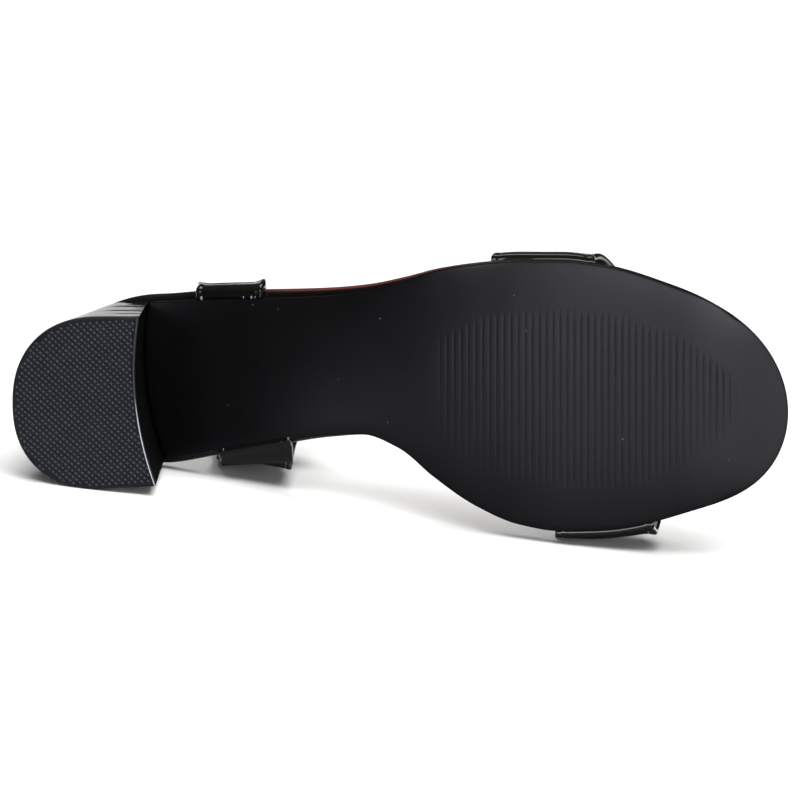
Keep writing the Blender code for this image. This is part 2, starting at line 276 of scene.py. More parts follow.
def reddish_edge_line(u, v, level):
    """Where the reddish line is coloured on the turned edge: mostly along the outer waist, between the two
    bands.
    """
    waist = fade(u, *LINE_START) * (1.0 - fade(u, *LINE_END)) * (v < 0.5)
    shown = LINE_FAINT + (1.0 - LINE_FAINT) * waist
    return shown * fade(level, *LINE_UPPER) * (1.0 - fade(level, *LINE_LOWER))


footbed = last(cut_blank("footbed_board", rows=140, columns=40, courses=16), footbed_form)
mark(footbed, "reddish_edge_line", reddish_edge_line(*blank_places(footbed)))
footbed.data.materials.append(patent_leather("patent leather, turned edge", "#552c2a"))
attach(footbed, "root")
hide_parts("footbed")


# Toe band. A band of patent leather over the toe joints, its edges folded in and stitched down, its ends
# drawn under the footbed. A strip of lining leather closes its inner side.
Fold = namedtuple("Fold", "across shift rise lean flare", defaults=(0.0,))
Band = namedtuple("Band", "length lateral_rear lateral_front medial_rear medial_front folds creases")
Crease = namedtuple("Crease", "along width depth slant")
TOE_BAND = Band(130.0, 149.0, 181.0, 169.0, 200.0, (
    Fold(-1.00, -0.9, -1.7, 0.0),           # end beside the outsole
    Fold(-1.00, -1.4, 2.5, 0.0),
    Fold(-1.00, -1.0, 8.0, 2.0),
    Fold(-0.92, 0.0, 19.0, 6.0),
    Fold(-0.66, 0.0, 29.0, 9.5),
    Fold(-0.20, 0.0, 35.0, 11.0),           # over the toe joints
    Fold(0.30, 0.0, 35.5, 10.0),
    Fold(0.72, 1.0, 29.5, 7.0),
    Fold(0.97, 2.2, 19.0, 3.5),
    Fold(1.00, 3.1, 10.0, 1.5),             # bulge at the big toe joint
    Fold(1.00, 2.5, 4.5, 0.5),
    Fold(1.00, 1.5, 1.0, 0.0),
    Fold(1.00, 0.6, -1.7, 0.0),
), (
    Crease(0.17, 0.025, 0.45, 0.03),
    Crease(0.27, 0.030, 0.30, -0.05),
    Crease(0.64, 0.030, 0.35, 0.06),
    Crease(0.75, 0.022, 0.45, -0.03),
))
BAND_HALF = 0.9                 # from the middle of the wall to its face, between the folded edges
EDGE_FREE = 10.0                # rise past the footbed over which a band leaves the sole's curved edge
FOLD_EDGE = 0.8                 # rounding of a folded edge
FOLD_BEAD = 0.12                # swelling where the leather lies double
FOLD_INSET = 1.0                # from a band's edge to the top of that swelling
FOLD_REACH = 0.9
SEAM_INSET = 2.4                # from a band's edge to its seam
SEAM_SINK = 0.16                # how deep the seam draws the leather in
SEAM_REACH = 0.35
CREASE_RUN = (0.5, 5.0)         # from a band's edge, where a crease begins and where it has its full depth
LINING_INSET = 3.4              # from a band's edge to the edge of its lining
LINING_SUNK = 0.3               # how far the lining reaches into the wall
LINING_PROUD = 0.15             # and how far it stands out of it
LINING_EDGE = 0.4
LINING_START = 7.0              # rise off the footbed's underside where the lining begins
Tuck = namedtuple("Tuck", "away depth")
END_TUCK = (Tuck(0.0, 1.5), Tuck(0.3, 1.05), Tuck(1.6, 0.14), Tuck(2.6, 0.0))    # how an end is drawn under
CROWDING = 0.8                  # how closely a band's rows and columns crowd towards its edges


def footbed_edges(x):
    """Lateral and medial edge of the footbed, narrowed towards its ends."""
    lateral, medial = half_widths(x, 1.0)
    past = np.maximum((HEEL_BACK + HEEL_ROUND - x) / HEEL_ROUND, (x - TOE_TIP + TOE_ROUND) / TOE_ROUND)
    narrowed = np.sqrt(1.0 - np.clip(past, 0.0, 1.0) ** 2)
    middle = (medial - lateral) / 2.0
    half = (medial + lateral) / 2.0 * narrowed
    return middle - half, middle + half


def band_middle(band, u, v):
    """The middle of a band's wall: u along it from the lateral end, v from its rear to its front edge."""
    knots = np.arange(len(band.folds))
    across, shift, rise, lean, flare = (smooth(knots, column, u * knots[-1]) for column in zip(*band.folds))
    share = (across + 1.0) / 2.0
    rear = band.lateral_rear + (band.medial_rear - band.lateral_rear) * share
    front = band.lateral_front + (band.medial_front - band.lateral_front) * share
    x = rear + (front - rear) * v
    lateral, medial = footbed_edges(x)
    far_lateral, far_medial = footbed_edges((rear + front) / 2.0)
    free = fade(rise, FOOTBED_THICKNESS, FOOTBED_THICKNESS + EDGE_FREE)
    lateral = lateral + (far_lateral - lateral) * free
    medial = medial + (far_medial - medial) * free
    along, height = board(x, rise)
    y = lateral + (medial - lateral) * share + shift + flare * (2.0 * v - 1.0)
    return np.stack((along + lean, y, height), axis=-1)


def clear_run(band, height):
    """The places along a band where it stands higher than this over the footbed's underside."""
    run = np.linspace(0.0, 1.0, 1200)
    rise = smooth(np.arange(len(band.folds)), [fold.rise for fold in band.folds], run * (len(band.folds) - 1))
    return run[rise > height]


def band_width(band, u, v):
    """How wide the band is there, from its rear to its front edge."""
    breadth = band_middle(band, u, np.ones_like(v)) - band_middle(band, u, np.zeros_like(v))
    return np.linalg.norm(breadth, axis=-1)


def band_face(band, u, v, offset):
    """A face of a band's wall, offset outwards from its middle; also its outward and its lengthwise way."""
    step = 0.002
    length = band_middle(band, u + step, v) - band_middle(band, u - step, v)
    breadth = band_middle(band, u, v + step) - band_middle(band, u, v - step)
    outward = np.cross(breadth, length)
    outward /= np.linalg.norm(outward, axis=-1, keepdims=True)
    length /= np.linalg.norm(length, axis=-1, keepdims=True)
    return band_middle(band, u, v) + outward * offset[..., None], outward, length


def band_relief(band, u, v, width):
    """Relief of a band's outer face: the folded edges, the seams drawn in beside them, and the creases."""
    edge = np.minimum(v, 1.0 - v) * width
    relief = FOLD_BEAD * np.exp(-((edge - FOLD_INSET) / FOLD_REACH) ** 2)
    relief -= SEAM_SINK * np.exp(-((edge - SEAM_INSET) / SEAM_REACH) ** 2)
    for crease in band.creases:
        away = (u - crease.along - crease.slant * (v - 0.5)) / crease.width
        relief -= crease.depth * np.exp(-away ** 2) * fade(edge, *CREASE_RUN)
    return relief


def crowd(t):
    """Draws evenly spaced places towards both ends."""
    return t - CROWDING * np.sin(2.0 * np.pi * t) / (2.0 * np.pi)


def band_form(band):
    def form(u, v, level):
        u = crowd(u)
        width = band_width(band, u, v)
        inset, share = rim_turn(level, FOLD_EDGE, 0.8)
        v = 0.5 + (crowd(v) - 0.5) * (1.0 - 2.0 * inset / width)
        from_end = np.minimum(np.minimum(u, 1.0 - u) * band.length, END_TUCK[-1].away)
        outer = BAND_HALF + band_relief(band, u, v, width) - smooth(*zip(*END_TUCK), from_end)
        return band_face(band, u, v, outer * (1.0 - share) - BAND_HALF * share)[0].T
    return form


def lining_form(band):
    lined = clear_run(band, LINING_START)

    def form(u, v, level):
        u = lined[0] + (lined[-1] - lined[0]) * u
        width = band_width(band, u, v)
        inset, share = rim_turn(level, LINING_EDGE, 1.0)
        edge = (LINING_INSET + inset) / width
        offset = -BAND_HALF + LINING_SUNK - (LINING_SUNK + LINING_PROUD) * share
        return band_face(band, u, edge + (1.0 - 2.0 * edge) * v, offset)[0].T
    return form


STITCH_PITCH = 3.0              # from one stitch to the next
STITCH_LENGTH = 2.4
THREAD = 0.42                   # thickness of the sewing thread
SEAM_START = 2.0                # rise off the footbed's underside where a seam comes into sight


def repeat(name, unit, spots, axes):
    """Joins copies of a modelled unit, one at each spot, drawn out along three axes of its own."""
    shape = np.array([vert.co for vert in unit.data.vertices])
    faces = [tuple(face.vertices) for face in unit.data.polygons]
    bpy.data.objects.remove(unit)
    points = np.asarray(spots)[:, None, :] + shape @ np.asarray(axes)
    joined = [tuple(corner + n * len(shape) for corner in face) for n in range(len(spots)) for face in faces]
    mesh = bpy.data.meshes.new(name)
    mesh.from_pydata(points.reshape(-1, 3), [], joined)
    mesh.transform(lying)
    copies = bpy.data.objects.new(name, mesh)
    bpy.context.scene.collection.objects.link(copies)
    return copies


def sew(name, band):
    """A row of stitches along each edge of a band, each one a bead of thread that dips in at its ends."""
    bpy.ops.object.select_all(action="DESELECT")
    bpy.ops.mesh.primitive_uv_sphere_add(segments=8, ring_count=6, radius=0.5)
    stitch = bpy.context.object
    run = clear_run(band, SEAM_START)
    spots = []
    axes = []
    for side in (0.0, 1.0):
        width = band_width(band, run, run)
        v = side + (1.0 - 2.0 * side) * SEAM_INSET / width
        offset = BAND_HALF + band_relief(band, run, v, width)
        path, outward, length = band_face(band, run, v, offset)
        travelled = np.concatenate(([0.0], np.cumsum(np.linalg.norm(np.diff(path, axis=0), axis=1))))
        stops = np.arange(STITCH_PITCH, travelled[-1] - STITCH_PITCH / 2.0, STITCH_PITCH)
        for i in np.searchsorted(travelled, stops):
            spots.append(path[i])
            beside = np.cross(outward[i], length[i])
            axes.append((length[i] * STITCH_LENGTH, beside * THREAD, outward[i] * THREAD))
    seam = repeat(name, stitch, spots, axes)
    seam.data.shade_smooth()
    return seam


def sewing_thread():
    """Bonded polyester thread: black with a soft sheen along its twist."""
    made, tree, shader = new_material("bonded polyester thread")
    spots = node(tree, "ShaderNodeTexCoord", {}).outputs["Object"]
    twist = node(tree, "ShaderNodeTexNoise", {"Vector": spots, "Scale": 1.0 / (0.35 * MM)})
    relief = node(tree, "ShaderNodeBump", {"Height": twist.outputs["Fac"], "Distance": 0.05 * MM})
    shader.inputs["Base Color"].default_value = linear("#211f1e")
    shader.inputs["Roughness"].default_value = 0.5
    shader.inputs["Sheen Weight"].default_value = 0.3
    tree.links.new(relief.outputs["Normal"], shader.inputs["Normal"])
    return made


def lining_leather():
    """Split leather with a pigmented reddish brown finish: matt and finely pebbled, a little clouded."""
    made, tree, shader = new_material("lining leather")
    spots = node(tree, "ShaderNodeTexCoord", {}).outputs["Object"]
    pebble = node(tree, "ShaderNodeTexVoronoi", {"Vector": spots, "Scale": 1.0 / (0.8 * MM)})
    cloud = node(tree, "ShaderNodeTexNoise", {"Vector": spots, "Scale": 1.0 / (14.0 * MM), "Detail": 3.0})
    tone = node(tree, "ShaderNodeValToRGB", {"Fac": cloud.outputs["Fac"]})
    tone.color_ramp.elements[0].position = 0.3
    tone.color_ramp.elements[0].color = linear("#5e403d")
    tone.color_ramp.elements[1].position = 0.7
    tone.color_ramp.elements[1].color = linear("#684744")
    relief = node(tree, "ShaderNodeBump", {"Height": pebble.outputs["Distance"], "Distance": 0.08 * MM,
                                           "Strength": 0.5}, invert=True)
    shader.inputs["Roughness"].default_value = 0.55
    tree.links.new(tone.outputs["Color"], shader.inputs["Base Color"])
    tree.links.new(relief.outputs["Normal"], shader.inputs["Normal"])
    return made


patent = patent_leather("patent leather")
thread = sewing_thread()
lining = lining_leather()
BAND_MESH = {"rows": 120, "columns": 34, "courses": 8}
LINING_MESH = {"rows": 120, "columns": 16, "courses": 4}

toe_strap = last(cut_blank("toe_band", **BAND_MESH), band_form(TOE_BAND))
toe_strap.data.materials.append(patent)
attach(toe_strap, "root")
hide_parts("toe_strap")

toe_lining = last(cut_blank("toe_band_lining", **LINING_MESH), lining_form(TOE_BAND))
toe_lining.data.materials.append(lining)
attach(toe_lining, "root")

toe_seams = sew("toe_band_seams", TOE_BAND)
toe_seams.data.materials.append(thread)
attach(toe_seams, "root")


# Instep band. A wider loop of the same patent leather, high enough for the instep, with folded and stitched
# edges; its two ends are turned under the footbed behind the waist.
INSTEP_BAND = Band(190.0, 56.5, 78.0, 64.0, 87.0, (
    Fold(-1.00, 2.6, -1.5, 0.0),            # end turned under the footbed
    Fold(-1.00, 0.2, -1.5, 0.0),
    Fold(-1.00, -1.25, 1.2, -0.4, -0.15),
    Fold(-1.00, -1.6, 7.0, -3.0, -0.4),
    Fold(-1.00, 1.0, 17.0, -7.6, -0.4),
    Fold(-0.94, 3.2, 34.0, -15.0),
    Fold(-0.72, 2.0, 53.0, -20.0),
    Fold(-0.32, 1.5, 66.0, -18.0),
    Fold(0.10, 2.5, 70.0, -16.5),           # over the instep
    Fold(0.52, 3.8, 64.0, -18.0),
    Fold(0.84, 5.2, 51.0, -22.5),
    Fold(1.00, 7.2, 33.0, -16.5),
    Fold(1.00, 5.4, 14.0, -7.4, 1.6),
    Fold(1.00, 4.9, 4.6, -2.4, 1.7),
    Fold(1.00, 0.6, -0.6, -0.1, 0.3),
    Fold(1.00, -0.9, -1.8, 0.0),
    Fold(1.00, -2.2, -1.6, 0.0),
), (
    Crease(0.17, 0.050, 0.90, 0.0),
    Crease(0.36, 0.020, 0.40, 0.04),
    Crease(0.62, 0.020, 0.40, -0.04),
    Crease(0.80, 0.016, 0.35, 0.03),
))

instep_strap = last(cut_blank("instep_band", **BAND_MESH), band_form(INSTEP_BAND))
instep_strap.data.materials.append(patent)
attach(instep_strap, "root")
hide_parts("instep_strap")

instep_lining = last(cut_blank("instep_band_lining", **LINING_MESH), lining_form(INSTEP_BAND))
instep_lining.data.materials.append(lining)
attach(instep_lining, "root")

instep_seams = sew("instep_band_seams", INSTEP_BAND)
instep_seams.data.materials.append(thread)
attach(instep_seams, "root")


# Insole. The sock that the foot stands on: a thin padded sheet of lining leather, cemented on the footbed
# a little inside its edge.
INSOLE_THICKNESS = 1.4
INSOLE_INSET = 3.0              # from the footbed's edge
INSOLE_EDGE = 0.9


def insole_form(u, v, level):
    inset, share = rim_turn(level, INSOLE_EDGE, 0.8)
    s = HEEL_BACK + (TOE_TIP - HEEL_BACK) * u
    x, y = sole_plan(s, 2.0 * v - 1.0, 1.0, INSOLE_INSET + inset)
    along, height = board(x, FOOTBED_THICKNESS + GAP + INSOLE_THICKNESS * (1.0 - share))
    return along, y, height


insole = last(cut_blank("insole_sock", rows=120, columns=40, courses=6), insole_form)
insole.data.materials.append(lining)
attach(insole, "root")
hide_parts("insole")


# Outsole. A moulded sheet of black rubber from the heel breast to the toe, cemented over the ends of both
# bands. Fine ribs, moulded in an egg-shaped field under the ball and toes, keep it from slipping.
Corner = namedtuple("Corner", "x y")
BREAST_HOLLOW = 3.4             # how deep the heel's breast is hollowed
BREAST_CLEARANCE = 1.2          # from the breast to the outsole
BREAST_FADE = 70.0              # where the outsole's rows no longer follow the breast
SEAT_LATERAL = Corner(40.0, -25.8)
SEAT_MEDIAL = Corner(45.2, 25.0)
OUTSOLE_EDGE = 0.6
OUTSOLE_CROWN = 0.5             # how far the walking face lifts towards its edges
RIB_PITCH = 2.14
RIB_START = 1.02                # of the first groove, counted from the back of the heel
RIB_STEEP = 0.10                # breadth of a groove's rear wall
RIB_GENTLE = 0.28               # and of its front wall, which rises slowly to the next rib
RIB_DEPTH = 0.15
RIB_WORN = 0.55                 # share of the depth that is trodden away on the inner side
RIB_WORN_RUN = (-25.0, 25.0)    # across the sole, over which that wear comes up
RIB_FADE = 3.5                  # over which a rib runs out at its ends
RIB_END = 10.0                  # and over which the field runs out behind and in front
RIB_ROWS = (-0.21, -0.09, 0.0, 0.22, 0.46, 0.78)    # mesh rows beside each groove
FieldRow = namedtuple("FieldRow", "x lateral medial")
RIB_FIELD = (
    FieldRow(128.5, 12.0, 2.0),
    FieldRow(131.7, 18.4, 9.2),
    FieldRow(139.6, 23.6, 18.8),
    FieldRow(148.0, 27.6, 22.6),
    FieldRow(159.5, 29.0, 26.2),
    FieldRow(173.0, 29.0, 28.2),
    FieldRow(188.4, 27.5, 28.7),
    FieldRow(196.3, 24.6, 26.9),
    FieldRow(206.3, 21.4, 22.4),
    FieldRow(213.2, 17.4, 17.8),
    FieldRow(219.2, 12.9, 13.6),
    FieldRow(224.2, 8.4, 8.2),
    FieldRow(228.0, 0.0, 0.0),
)
grooves = np.arange(RIB_START, RIB_FIELD[-1].x, RIB_PITCH)
grooves = grooves[grooves > RIB_FIELD[0].x]
rib_rows = (grooves[:, None] + RIB_ROWS).ravel()
outsole_rows = np.concatenate((np.linspace(SEAT_MEDIAL.x, rib_rows[0] - 1.0, 46), rib_rows,
                               np.linspace(rib_rows[-1] + 1.0, TOE_TIP, 18)))


def breast_hollow(v):
    return BREAST_HOLLOW * (1.0 - (2.0 * v - 1.0) ** 2)


def rib_relief(s, x, y):
    """Depth of the grooves in the walking face, which run along the mesh rows."""
    away = s - RIB_START - np.round((s - RIB_START) / RIB_PITCH) * RIB_PITCH
    stations, laterals, medials = zip(*RIB_FIELD)
    within = np.minimum(y + smooth(stations, laterals, x), smooth(stations, medials, x) - y)
    ends = np.minimum(x - RIB_FIELD[0].x, RIB_FIELD[-1].x - x)
    wall = np.where(away < 0.0, RIB_STEEP, RIB_GENTLE)
    left = 1.0 - RIB_WORN * fade(y, *RIB_WORN_RUN)
    depth = RIB_DEPTH * left * np.exp(-(away / wall) ** 2)
    return depth * fade(within, 0.0, RIB_FADE) * fade(ends, 0.0, RIB_END)


def outsole_form(u, v, level):
    inset, share = rim_turn(level, OUTSOLE_EDGE, 0.6)
    s = np.interp(u * (len(outsole_rows) - 1), np.arange(len(outsole_rows)), outsole_rows)
    start = SEAT_LATERAL.x + (SEAT_MEDIAL.x - SEAT_LATERAL.x) * v - breast_hollow(v) + BREAST_CLEARANCE
    bend = np.clip(1.0 - (s - SEAT_MEDIAL.x) / (BREAST_FADE - SEAT_MEDIAL.x), 0.0, 1.0) ** 2
    across = 2.0 * v - 1.0
    x, y = sole_plan(s + (start + inset - SEAT_MEDIAL.x) * bend, across, 0.0, inset)
    face = fade(share, 0.5, 1.0)
    lifted = (rib_relief(s, x, y) + OUTSOLE_CROWN * across ** 6) * face
    along, height = board(x, -GAP - OUTSOLE_THICKNESS * share + lifted)
    return along, y, height


def sole_rubber():
    """Moulded rubber with the satin of its mould: near black, a broad soft gloss and a few specks of dust."""
    made, tree, shader = new_material("moulded sole rubber")
    spots = node(tree, "ShaderNodeTexCoord", {}).outputs["Object"]
    skin = node(tree, "ShaderNodeTexNoise", {"Vector": spots, "Scale": 1.0 / (0.5 * MM), "Detail": 2.0})
    cloud = node(tree, "ShaderNodeTexNoise", {"Vector": spots, "Scale": 1.0 / (22.0 * MM), "Detail": 4.0})
    dust = node(tree, "ShaderNodeTexVoronoi", {"Vector": spots, "Scale": 1.0 / (9.0 * MM)})
    grain = node(tree, "ShaderNodeMath", {0: dust.outputs["Distance"], 1: 0.03}, operation="LESS_THAN")
    tone = node(tree, "ShaderNodeMix", {0: grain.outputs[0], 6: linear("#060607"), 7: linear("#46474b")},
                data_type="RGBA")
    gloss = node(tree, "ShaderNodeMapRange", {"Value": cloud.outputs["Fac"], "From Min": 0.3, "From Max": 0.7,
                                              "To Min": 0.31, "To Max": 0.38})
    relief = node(tree, "ShaderNodeBump", {"Height": skin.outputs["Fac"], "Distance": 0.012 * MM,
                                           "Strength": 0.5})
    shader.inputs["Specular IOR Level"].default_value = 0.29
    shader.inputs["Specular Tint"].default_value = linear("#f3f4ff")
    tree.links.new(tone.outputs[2], shader.inputs["Base Color"])
    tree.links.new(gloss.outputs["Result"], shader.inputs["Roughness"])
    tree.links.new(relief.outputs["Normal"], shader.inputs["Normal"])
    return made


def dried_cement():
    """Sole cement that has squeezed out and dried: pale, slightly blue and glassy."""
    made, tree, shader = new_material("dried cement")
    spots = node(tree, "ShaderNodeTexCoord", {}).outputs["Object"]
    lumps = node(tree, "ShaderNodeTexNoise", {"Vector": spots, "Scale": 1.0 / (0.6 * MM)})
    relief = node(tree, "ShaderNodeBump", {"Height": lumps.outputs["Fac"], "Distance": 0.1 * MM})
    shader.inputs["Base Color"].default_value = linear("#6c717e")
    shader.inputs["Roughness"].default_value = 0.3
    tree.links.new(relief.outputs["Normal"], shader.inputs["Normal"])
    return made


outsole_blank = cut_blank("outsole_sheet", rows=len(outsole_rows) - 1, columns=64, courses=6)
outsole = last(outsole_blank, outsole_form, crisp=70.0)
outsole.data.materials.append(sole_rubber())
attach(outsole, "root")
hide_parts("outsole")

Bead = namedtuple("Bead", "x size")
CEMENT_BEADS = (Bead(58.6, 0.9), Bead(72.3, 0.5), Bead(74.8, 0.7), Bead(76.0, 0.4))     # at the outer waist
BEAD_SHAPE = (0.9, 1.5, 0.7)    # length, breadth and height of a bead of size 1
BEAD_LEVEL = 0.9                # share of the outsole's thickness
BEAD_OUT = 0.3                  # from the outsole's edge
bpy.ops.object.select_all(action="DESELECT")
bpy.ops.mesh.primitive_uv_sphere_add(segments=10, ring_count=8, radius=0.5)
bead_x, bead_size = np.array(CEMENT_BEADS).T
bead_along, bead_height = board(bead_x, -GAP - BEAD_LEVEL * OUTSOLE_THICKNESS)
bead_spots = np.stack((bead_along, -half_widths(bead_x, 0.0)[0] - BEAD_OUT, bead_height), axis=1)
bead_axes = bead_size[:, None, None] * np.diag(BEAD_SHAPE)
cement = repeat("cement_beads", bpy.context.object, bead_spots, bead_axes)
cement.data.shade_smooth()
cement.data.materials.append(dried_cement())
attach(cement, "root")


# Heel. A moulded plastic block, D-shaped in plan. Patent leather is pulled round it from the back and creases
# a little beside the outer breast corner; the hollow breast is faced with dull leather.
LIFT_THICKNESS = 5.0
LIFT_HALF_WIDTH = 26.8
LIFT_CENTRE = Corner(27.2, 0.5)
LIFT_SQUARE = 0.87              # the smaller, the squarer the back of the D
LIFT_LATERAL = Corner(39.4, -26.3)
LIFT_MEDIAL = Corner(44.4, 26.4)
SEAT_INSET = 1.3                # heel wall behind the footbed's edge
SEAT_CENTRE = 34.0
SEAT_GAP = 0.36
HEEL_TURN = 0.6                 # share of the rows that go round the back
COVER_EDGE = 0.7                # breadth of the rounded edges of the cover
CoverCrease = namedtuple("CoverCrease", "x z far_x far_z width depth")
COVER_CREASES = (
    CoverCrease(42.0, 10.0, 31.0, 8.5, 0.8, 0.05),
    CoverCrease(42.0, 14.5, 22.0, 12.0, 1.3, 0.14),
    CoverCrease(42.0, 21.0, 30.0, 22.5, 0.9, 0.14),
    CoverCrease(42.0, 26.0, 16.0, 23.0, 1.6, 0.22),
    CoverCrease(42.0, 32.0, 33.0, 34.0, 0.8, 0.16),
    CoverCrease(42.0, 39.0, 19.0, 38.0, 1.7, 0.26),
    CoverCrease(42.0, 45.0, 30.0, 47.0, 1.0, 0.08),
)


def d_plan(u, v, centre, half_width, back, square, lateral, medial, inset):
    """A D outline filled with rows that bow round its back and run on to the hollow breast; also how far
    each point lies inside the outline."""
    across = 2.0 * v - 1.0
    into_back = np.clip(1.0 - u / HEEL_TURN, 0.0, 1.0)
    p = into_back * np.sqrt(1.0 - across ** 2 / 2.0)
    q = across * np.sqrt(1.0 - into_back ** 2 / 2.0)
    reach = np.maximum(np.hypot(p, q), 1e-9)
    round_x = centre.x - (centre.x - back - inset) * reach * (p / reach) ** square
    round_y = centre.y + (half_width - inset) * reach * np.sign(q) * (np.abs(q) / reach) ** square
    t = np.clip((u - HEEL_TURN) / (1.0 - HEEL_TURN), 0.0, 1.0)
    breast = lateral.x + (medial.x - lateral.x) * v - breast_hollow(v) - inset
    near_y = centre.y - half_width + (lateral.y - centre.y + half_width) * t + inset
    far_y = centre.y + half_width + (medial.y - centre.y - half_width) * t - inset
    x = np.where(u < HEEL_TURN, round_x, centre.x + (breast - centre.x) * t)
    y = np.where(u < HEEL_TURN, round_y, near_y + (far_y - near_y) * v)
    ahead = np.where(u < HEEL_TURN, half_width, (1.0 - t) * (breast - centre.x))
    inside = np.minimum(np.where(u < HEEL_TURN, 1.0 - reach, 1.0 - np.abs(across)) * half_width, ahead)
    return x, y, inside


def lift_plan(u, v, inset):
    return d_plan(u, v, LIFT_CENTRE, LIFT_HALF_WIDTH, 0.0, LIFT_SQUARE, LIFT_LATERAL, LIFT_MEDIAL, inset)


def heel_form(u, v, level):
    middle = Corner(SEAT_CENTRE, (SEAT_LATERAL.y + SEAT_MEDIAL.y) / 2.0)
    half_width = (SEAT_MEDIAL.y - SEAT_LATERAL.y) / 2.0
    back = HEEL_BACK + SEAT_INSET
    seat_x, seat_y, _ = d_plan(u, v, middle, half_width, back, 1.0, SEAT_LATERAL, SEAT_MEDIAL, 0.0)
    foot_x, foot_y, _ = lift_plan(u, v, 0.0)
    x = seat_x + (foot_x - seat_x) * level
    y = seat_y + (foot_y - seat_y) * level
    seat_z = board(seat_x, 0.0)[1] - SEAT_GAP
    z = seat_z + (LIFT_THICKNESS + GAP - seat_z) * level
    wall = (level > 0.0) & (level < 1.0) & (v == 0.0)
    for crease in COVER_CREASES:
        run = np.array((crease.far_x - crease.x, crease.far_z - crease.z))
        along = ((x - crease.x) * run[0] + (z - crease.z) * run[1]) / (run @ run)
        aside = ((x - crease.x) * run[1] - (z - crease.z) * run[0]) / np.sqrt(run @ run)
        y = y + wall * crease.depth * np.exp(-(aside / crease.width) ** 2) * (1.0 - fade(along, 0.2, 1.0))
    return x, y, z


def dyed_leather():
    """Leather dyed black and left without lacquer: matt, with a trace of its fibre."""
    made, tree, shader = new_material("dyed leather")
    spots = node(tree, "ShaderNodeTexCoord", {}).outputs["Object"]
    fibre = node(tree, "ShaderNodeTexNoise", {"Vector": spots, "Scale": 1.0 / (0.4 * MM), "Detail": 4.0})
    relief = node(tree, "ShaderNodeBump", {"Height": fibre.outputs["Fac"], "Distance": 0.1 * MM})
    shader.inputs["Base Color"].default_value = linear("#060505")
    shader.inputs["Roughness"].default_value = 0.8
    shader.inputs["Specular IOR Level"].default_value = 0.05
    tree.links.new(relief.outputs["Normal"], shader.inputs["Normal"])
    return made


heel = last(cut_blank("heel_block", rows=48, columns=48, courses=64), heel_form)
heel.data.materials.append(patent)
heel.data.materials.append(dyed_leather())
heel_places = heel.data.attributes["place"].data
for face in heel.data.polygons:
    face.material_index = int({heel_places[corner].vector.x for corner in face.vertices} == {1.0})
edges = heel.modifiers.new("cover edges", "BEVEL")
edges.width = COVER_EDGE * MM
edges.segments = 4
edges.limit_method = "ANGLE"
edges.angle_limit = math.radians(50.0)
bpy.ops.object.modifier_apply(modifier=edges.name)
bpy.ops.object.shade_smooth_by_angle(angle=math.radians(40.0))
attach(heel, "root")
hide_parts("heel")


# Top lift. A replaceable pad of charcoal rubber, pressed with a fine diamond tread inside a plain rim and
# fixed under the heel.
TREAD_PITCH = 1.43              # from one stud to the next
TREAD_TURN = math.radians(41.0)
TREAD_DEPTH = 0.45
TREAD_RIM = 0.3                 # breadth of the plain rim
RIM_SLOPE = 0.5                 # over which the face sinks inside it
STUD_INSET = 0.6                # from the rim to the middle of the nearest stud
STUD_FOOT = 0.71                # half the length of a stud where it stands
STUD_TIP = 0.2                  # and at its tip
STUD_NARROW = 0.72              # its breadth, as a share of its length
STUD_SHORT = 0.02               # how far the studs stop short of the rim's face
STUD_WEAR_AND_HIGHLIGHT = 0.75                # how pale the tips are: partly rubbing, partly painted highlight
STUD_UNEVEN = (0.75, 1.0)       # and how that varies from stud to stud
LATTICE = 40                    # studs from the middle of the lattice to its edge
RIM_POINTS = 81                 # along each side of the rim's outline
LIFT_EDGE = 0.3


def lift_form(u, v, level):
    inset, share = rim_turn(level, LIFT_EDGE, 0.6)
    x, y, inside = lift_plan(u, v, inset)
    pressed = TREAD_DEPTH * fade(inside, TREAD_RIM, TREAD_RIM + RIM_SLOPE) * (level == 1.0)
    return x, y, LIFT_THICKNESS * (1.0 - share) + pressed


def stud_places():
    """The points of a square lattice that lie inside the rim of the lift."""
    steps = np.arange(-LATTICE, LATTICE + 1) * TREAD_PITCH
    first, second = (axis.ravel() for axis in np.meshgrid(steps, steps))
    x = LIFT_CENTRE.x + first * math.cos(TREAD_TURN) - second * math.sin(TREAD_TURN)
    y = LIFT_CENTRE.y + first * math.sin(TREAD_TURN) + second * math.cos(TREAD_TURN)
    low = np.zeros(RIM_POINTS)
    high = np.ones(RIM_POINTS)
    rising = np.linspace(0.0, 1.0, RIM_POINTS)
    falling = np.linspace(1.0, 0.0, RIM_POINTS)
    edge_u = np.concatenate((low, rising, high, falling))
    edge_v = np.concatenate((falling, low, rising, high))
    edge_x, edge_y, _ = lift_plan(edge_u, edge_v, TREAD_RIM + STUD_INSET)
    ahead_x = np.roll(edge_x, -1)
    ahead_y = np.roll(edge_y, -1)
    crosses = (edge_y > y[:, None]) != (ahead_y > y[:, None])
    rise = np.where(ahead_y == edge_y, 1.0, ahead_y - edge_y)
    hits = crosses & (x[:, None] < edge_x + (ahead_x - edge_x) * (y[:, None] - edge_y) / rise)
    kept = hits.sum(axis=1) % 2 == 1
    return np.stack((x[kept], y[kept]), axis=1)


